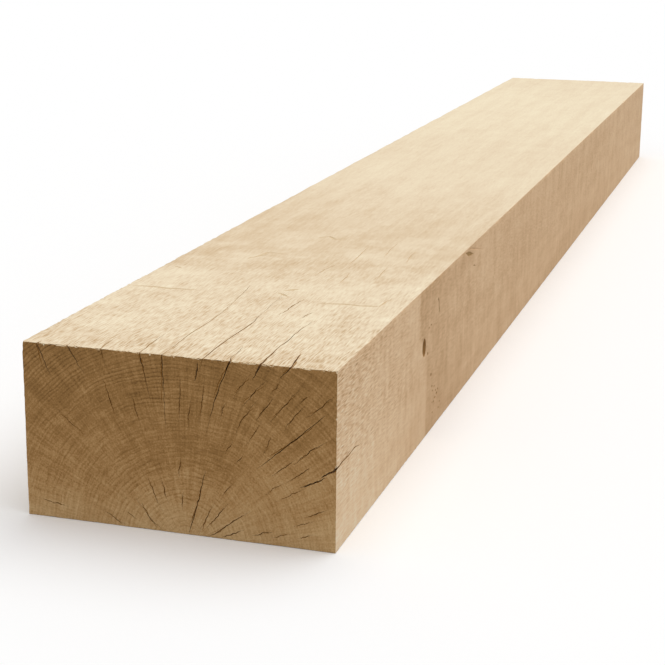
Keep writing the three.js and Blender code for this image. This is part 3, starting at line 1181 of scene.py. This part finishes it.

# %% [markdown]
# The lips of a check are frayed: fibres broke off on both sides of it, so it is a little wider just
# at the surface. Without that it would look like a cut made by a knife. The same rows go through
# the same tree once more, only a millimetre deep and a set amount wider. The noises still follow
# the same seeds, so every lip lies exactly on its own check. The lips on an end are lined with
# frayed fibre, and those on the long faces with bruised oak. Both are browner than the wood beside
# them, partly by their own colour and partly as painted shade of the check.

# %% Fray the lips
# In mm, as the rows are.
LIP_DEPTH = 1.0
END_LIP_WIDTH = 1.2  # added to the gape
TOP_LIP_WIDTH = 0.95
TOP_LIP_SWELL = 1.8  # a wedge has lost this factor of its gape by the time it reaches the skin


def open_end_lip(number, row):
    *path, gape, neck, run, rough, swings = row
    return open_check(number, (*path, gape + END_LIP_WIDTH, 1, LIP_DEPTH, rough, STILL))


def blind_end_lip(number, row, end):
    *path, gape, run = row
    return blind_check(number, (*path, gape + END_LIP_WIDTH, LIP_DEPTH), end)


def top_lip(number, row):
    outer_turn, inner_turn, inner, bow, gape, neck, run, rough, swings = row
    foot = distance_to_skin(math.radians(outer_turn)) / MM - LIP_DEPTH
    wide = (TOP_LIP_WIDTH + gape * neck) * TOP_LIP_SWELL
    return open_check(number, (outer_turn, outer_turn, foot, 0, wide, 1, run, rough, swings))


END_LIP_SIZES = {**OPEN_SIZES, "Stations back": 3, "Wall": frayed_and_shaded_lip}
BLIND_LIP_SIZES = {**BLIND_SIZES, "Stations back": 3, "Wall": frayed_and_shaded_lip}
TOP_LIP_SIZES = {**OPEN_SIZES, "Stations inward": 4, "Wall": bruised_and_shaded_oak}
open_end_lips = [open_end_lip(*row) for row in open_rows]
blind_end_lips = [blind_end_lip(*row) for row in blind_rows]
top_lips = [top_lip(*row) for row in open_rows]
lip_cutters = [
    check_cutters("lips on the end", open_end_lips, END_LIP_SIZES),
    check_cutters("lips of blind checks", blind_end_lips, BLIND_LIP_SIZES),
    check_cutters("lips on the long faces", top_lips, TOP_LIP_SIZES),
]
print("lip cutters:", [len(cutter.polygons) for cutter in lip_cutters], "faces")

# %% [markdown]
# ## Cracks in the long faces
#
# The skin of a long face has finer cracks of its own, which run along the grain. Some have closed
# again and are only a fine pressed line. Two broken lines cross the top from side to side, where
# the saw was stopped and started again, and beside the right-hand edge a splinter has lifted. Each
# is a path of a few points, and its cutter is a thin prism of which the middle is pushed about a
# little, station by station.

# %% List the paths
# the face, the depth, and points of distance from the near end, place across, half width, all in mm
SURFACE_CRACKS = [
    ("top", 0.9, ((134, 54.1, 0.30), (146, 55.0, 0.85), (157, 57.0, 0.30))),
    ("top", 0.9, ((137, 33.2, 0.35), (156, 35.2, 0.90), (170, 34.4, 0.85), (195, 36.8, 0.35))),
    ("side", 1.5, ((315, 121, 0.5), (319, 116.7, 1.2), (321, 111, 0.9), (324, 104, 1.3))),
    # Below the lifted splinter: a shallow hollow whose brown is partly a painted shadow of the
    # splinter.
    ("side", 0.9, ((430, 137.0, 0.8), (440, 134.4, 3.8), (450, 132.4, 3.4), (466, 129.6, 0.6))),
    ("side", 1.0, ((468, 117.2, 0.4), (473, 116.0, 1.0), (478, 115.0, 0.4))),
]
CLOSED_CRACKS = [
    ("top", 0.75, ((255, 48.4, 0.35), (283, 47.5, 0.80), (308, 45.0, 0.35))),
    ("top", 0.70, ((330, 35.8, 0.35), (368, 34.5, 0.75), (416, 30.8, 0.35))),
    ("top", 0.75, ((282, 75.6, 0.35), (309, 73.5, 0.80), (338, 72.0, 0.35))),
    ("top", 0.75, ((280, 19.0, 0.35), (308, 20.5, 0.80), (332, 24.9, 0.35))),
    ("top", 0.70, ((356, 83.8, 0.35), (384, 80.9, 0.75), (410, 80.3, 0.35))),
    ("top", 0.70, ((372, 57.9, 0.35), (407, 55.0, 0.75), (440, 54.3, 0.35))),
]
SAW_MARKS = [
    ("top", 0.65, ((325, -62.8, 1.5), (344, -54.4, 3.5), (358, -52.5, 4.0), (359, -34.5, 1.5))),
    ("top", 0.65, ((436, -30.3, 1.5), (450, -18.8, 3.4), (438, -9.3, 3.2), (448, 1.0, 1.5))),
    ("top", 0.65, ((199, 20.6, 1.5), (204, 15.5, 4.0), (209, 9.0, 1.5))),
    ("top", 0.65, ((217, 11.0, 1.5), (223, 17.0, 4.6), (228, 22.5, 1.5))),
    ("top", 0.65, ((271, -105.0, 1.2), (273, -109.5, 3.2), (275, -114.0, 1.2))),
    ("top", 0.65, ((193, -121.0, 2.0), (195, -105.4, 3.2), (194, -84.9, 3.2), (197, -58.1, 1.5))),
    ("top", 0.70, ((184, 52.0, 1.5), (190, 72.4, 3.4), (189, 87.7, 3.4), (191, 103.1, 2.4))),
    ("top", 0.75, ((191, 103.1, 1.4), (202, 103.8, 1.3), (217, 105.3, 0.5))),
]
RAISED_FIBRE = [
    ("side", 0.7, ((433, 139.0, 0.6), (455, 136.6, 1.6), (485, 130.4, 1.8), (518, 123.2, 0.8))),
]
path_lists = (SURFACE_CRACKS, CLOSED_CRACKS, SAW_MARKS, RAISED_FIBRE)
print("paths in the skin:", sum(len(paths) for paths in path_lists))

# %% Cut paths in the skin
LIFT = 0.8 * MM
CRACK_STEP = 3.0 * MM
CRACK_RAG = 0.7 * MM
CRACK_RAG_SIZE = 5 * MM
CRACK_SEED_STEP = 3.7
WIDTH_BEATS = 9  # how many times the width changes along a path
WIDTH_ROW = 4.4
CRACK_FOOT = 0.35  # how narrow the foot of a crack is, as a share of its mouth
SHALLOW_TIP = 0.3  # how deep a crack is at its two tips, as a share of its full depth


def on_face(face, along, across, lift):
    if face == "top":
        return Vector((across, NEAR_Y + along, BOX_HIGH.z + lift))
    return Vector((BOX_HIGH.x + lift, NEAR_Y + along, across))


def crack_stations(path, seed):
    """Points along a path, each pushed aside by noise: place along, across, half width, share."""
    points = [Vector(point) * MM for point in path]
    lengths = [(b.xy - a.xy).length for a, b in zip(points, points[1:])]
    stations = []
    travelled = 0.0
    for start, end, length in zip(points, points[1:], lengths):
        count = max(1, round(length / CRACK_STEP))
        first = 0 if not stations else 1
        for i in range(first, count + 1):
            point = start.lerp(end, i / count)
            here = (travelled + length * i / count) / sum(lengths)
            rag_at = Vector((point.x / CRACK_RAG_SIZE, point.y / CRACK_RAG_SIZE, seed))
            aside = noise.noise(rag_at)
            turned = (end - start).xy.orthogonal().normalized() * aside * CRACK_RAG
            wider = noise.noise(Vector((here * WIDTH_BEATS, seed, WIDTH_ROW)))
            width = point.z * (1 + HALF * wider)
            stations.append((point.x + turned.x, point.y + turned.y, width, here))
        travelled += length
    return stations


def crack_mesh(name, cracks, finish):
    cutter = bmesh.new()
    for seed, (face, depth, path) in enumerate(cracks):
        stations = crack_stations(path, seed * CRACK_SEED_STEP)
        rings = []
        for number, (along, across, width, here) in enumerate(stations):
            before = stations[max(0, number - 1)]
            after = stations[min(len(stations) - 1, number + 1)]
            aside = Vector((after[0] - before[0], after[1] - before[1])).orthogonal().normalized()
            deep = depth * MM * (SHALLOW_TIP + (1 - SHALLOW_TIP) * math.sin(math.pi * here))
            foot = width * CRACK_FOOT
            corners = ((width, LIFT), (-width, LIFT), (-foot, -deep), (foot, -deep))
            places = [
                on_face(face, along + aside.x * w, across + aside.y * w, lift) for w, lift in corners
            ]
            rings.append([cutter.verts.new(place) for place in places])
        for ring, following in zip(rings, rings[1:]):
            for i in range(len(ring)):
                j = (i + 1) % len(ring)
                cutter.faces.new((ring[i], ring[j], following[j], following[i]))
        cutter.faces.new(rings[0])
        cutter.faces.new(rings[-1])
    bmesh.ops.recalc_face_normals(cutter, faces=cutter.faces)
    mesh = bpy.data.meshes.new(name)
    cutter.to_mesh(mesh)
    cutter.free()
    mesh.materials.append(finish)
    return mesh


surface_cutters = [
    # On the closed cracks this colour is a faint painted shade of the hairline; on the saw marks it
    # is pressed nap.
    crack_mesh("saw marks", SAW_MARKS + CLOSED_CRACKS, pressed_and_shaded_oak),
    crack_mesh("surface cracks", SURFACE_CRACKS, bruised_and_shaded_oak),
    crack_mesh("raised fibre", RAISED_FIBRE, edge_sawn),
]
print("surface cutters:", [len(cutter.polygons) for cutter in surface_cutters], "faces")

# %% [markdown]
# ## The knot and other hollows
#
# On the right-hand side a small dead knot has dropped out and left a hole as tall as a thumbnail,
# with worm pinholes behind and below it. Along the near edges, crumbs have broken away where checks
# reach the corner. All are hollows: a rough ball, squashed to its own size.

# %% List the hollows
# place across, from the near end and up, then half sizes the same three ways, in mm
KNOT = [(125.0, 266.0, 86.2, 5.0, 6.2, 8.3)]
PINHOLES = [
    (125.0, 283, 100.2, 0.9, 1.6, 1.1),
    (125.0, 291, 100.9, 0.8, 1.4, 0.8),
    (125.0, 280, 77.3, 0.9, 1.8, 1.5),
    (125.0, 295, 53.5, 1.0, 2.0, 1.7),
    (125.0, 300, 41.1, 1.0, 1.9, 1.1),
    (125.0, 309, 38.5, 0.9, 1.6, 0.9),
    (125.0, 323, 32.2, 0.9, 1.9, 1.0),
    (125.0, 315, 33.2, 0.9, 1.6, 1.0),
    (125.0, 302, 36.4, 0.8, 1.5, 0.9),
    (125.0, 319, 29.2, 1.1, 2.6, 1.2),
    (125.0, 313, 26.8, 0.9, 2.4, 1.0),
    (125.0, 302, 25.3, 0.8, 1.5, 0.8),
    (125.0, 307, 24.5, 0.9, 1.6, 1.0),
    (125.0, 332, 17.4, 0.8, 1.8, 0.9),
    (125.0, 328, 12.6, 0.8, 1.8, 1.1),
    (125.0, 304, 15.1, 0.8, 1.5, 0.9),
]
PALE_CRUMBS = [
    (-106.5, 0.0, 139.6, 0.6, 1.0, 1.9),
    (-80.5, 0.0, 140.0, 0.6, 1.0, 1.0),
    (-61.0, 0.0, 139.8, 0.7, 1.3, 1.4),
    (-20.0, 0.0, 139.8, 0.7, 1.2, 1.6),
    (-1.0, 0.0, 139.8, 0.6, 1.1, 1.5),
    (43.5, 0.0, 140.0, 0.7, 1.2, 1.1),
    (67.5, 0.0, 140.0, 0.9, 1.6, 1.0),
    (91.5, 0.0, 140.0, 0.9, 1.6, 1.0),
    (124.6, 0.0, 139.2, 1.1, 1.6, 1.3),
    (125.0, 0.0, 104.0, 0.8, 1.2, 1.3),
    (125.0, 0.0, 66.5, 1.4, 2.2, 1.9),
]
print("hollows:", len(KNOT + PINHOLES), "dark,", len(PALE_CRUMBS), "pale")

# %% Build the hollow tree
HOLLOW_FIELDS = ("x", "y", "z", "half_x", "half_y", "half_z")
HOLLOW = {"Roughness": 0.55, "Lump size": 0.9, "Roundness": 3, "Wall": split_oak}
APART = 100.0  # how far apart the noise places of two hollows lie, for each unit between them


def hollow_tree():
    tree, sockets, given, size = new_tree("rough hollows", HOLLOW)
    field = named_values(tree, HOLLOW_FIELDS)
    inputs = {"Radius": 1.0, "Subdivisions": size["Roundness"]}
    ball = add_node(tree, "GeometryNodeMeshIcoSphere", inputs)
    balls = put_on_points(tree, given, ball)
    position = add_node(tree, "GeometryNodeInputPosition")
    centre = vector(tree, field["x"], field["y"], field["z"])
    half_sizes = vector(tree, field["half_x"], field["half_y"], field["half_z"])

    # Each ball is sampled at its own place in the noise, so no two hollows are alike.
    lump_at = calc_vector(tree, "ADD", position, scaled(tree, centre, APART))
    lumps = add_noise(tree, lump_at, size["Lump size"], detail=2.0)
    rough = scaled(tree, position, (lumps - NOISE_MEAN) * size["Roughness"] + 1.0)
    placed = calc_vector(tree, "MULTIPLY_ADD", rough, half_sizes, centre)
    hand_over(tree, balls, placed, size["Wall"])
    return tree, sockets


hollowing = hollow_tree()
print("hollow tree:", len(hollowing[0].nodes), "nodes")


# %% Make the hollow cutters
def hollow_points(rows):
    return [
        (x * MM, NEAR_Y + y * MM, BOX_LOW.z + z * MM, *(half * MM for half in halves))
        for x, y, z, *halves in rows
    ]


def hollow_cutters(name, rows, sizes):
    points = point_mesh(name, HOLLOW_FIELDS, hollow_points(rows))
    return grow(name, points, hollowing, sizes)


knot_cutters = hollow_cutters("knot hole", KNOT, {**HOLLOW, "Roughness": 0.22, "Wall": dead_knot})
pin_cutters = hollow_cutters("pinholes", PINHOLES, {**HOLLOW, "Roundness": 2, "Wall": dead_knot})
pale_cutters = hollow_cutters("edge crumbs", PALE_CRUMBS, {**HOLLOW, "Wall": mill_sawn})
hollow_lists = (knot_cutters, pin_cutters, pale_cutters)
print("hollow cutters:", [len(cutter.polygons) for cutter in hollow_lists], "faces")

# %% [markdown]
# ## Cut, dress and hand over
#
# Each kind of cutter takes its turn in a Boolean, one after another, the widest and shallowest
# first. The faces that a cut makes keep the cutter's finish. Where two cuts pass close by each
# other a sliver can come quite loose. On a real baulk it would drop out, so here only the largest
# connected piece is kept. Last, shading runs smooth over the gentle waves and breaks at every real
# edge.

# %% Cut
def cut_away(name, body_mesh, cutter):
    body = stand(name, body_mesh)
    tool = stand("cutter", cutter)
    cut = body.modifiers.new("cut", "BOOLEAN")
    cut.operation = "DIFFERENCE"
    cut.solver = "MANIFOLD"
    cut.material_mode = "TRANSFER"
    cut.object = tool
    result = bpy.data.meshes.new_from_object(
        body.evaluated_get(bpy.context.evaluated_depsgraph_get())
    )
    for made in (body, tool):
        bpy.data.objects.remove(made)
    return result


split_mesh = sawn_mesh
for cutter in (
    pale_cutters,
    *lip_cutters,
    open_cutters,
    blind_cutters,
    *surface_cutters,
    knot_cutters,
    pin_cutters,
):
    before = len(split_mesh.polygons)
    split_mesh = cut_away("half-cut sleeper", split_mesh, cutter)
    print(f"{cutter.name}: {before} -> {len(split_mesh.polygons)} faces")

# %% Drop the slivers and finish
SMOOTH_UP_TO = math.radians(32)  # an edge sharper than this stays crisp


def drop_slivers(mesh):
    """Keeps the largest connected piece of a mesh, and says how many others there were."""
    body = bmesh.new()
    body.from_mesh(mesh)
    unseen = set(body.faces)
    islands = []
    while unseen:
        front = [unseen.pop()]
        island = []
        while front:
            face = front.pop()
            island.append(face)
            beside = {other for edge in face.edges for other in edge.link_faces} & unseen
            unseen -= beside
            front.extend(beside)
        islands.append(island)
    islands.sort(key=len)
    slivers = [face for island in islands[:-1] for face in island]
    bmesh.ops.delete(body, geom=slivers, context="FACES")
    body.to_mesh(mesh)
    body.free()
    return len(islands) - 1


print("slivers dropped:", drop_slivers(split_mesh), "and valid:", not split_mesh.validate())
split_mesh.shade_smooth()
split_mesh.set_sharp_from_angle(angle=SMOOTH_UP_TO)

sleeper = stand("oak_sleeper", split_mesh)
triangles = sum(len(face.vertices) - 2 for face in split_mesh.polygons)
print("sleeper:", triangles, "triangles,", [m and m.name for m in split_mesh.materials])

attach(sleeper, "root")
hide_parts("sleeper")
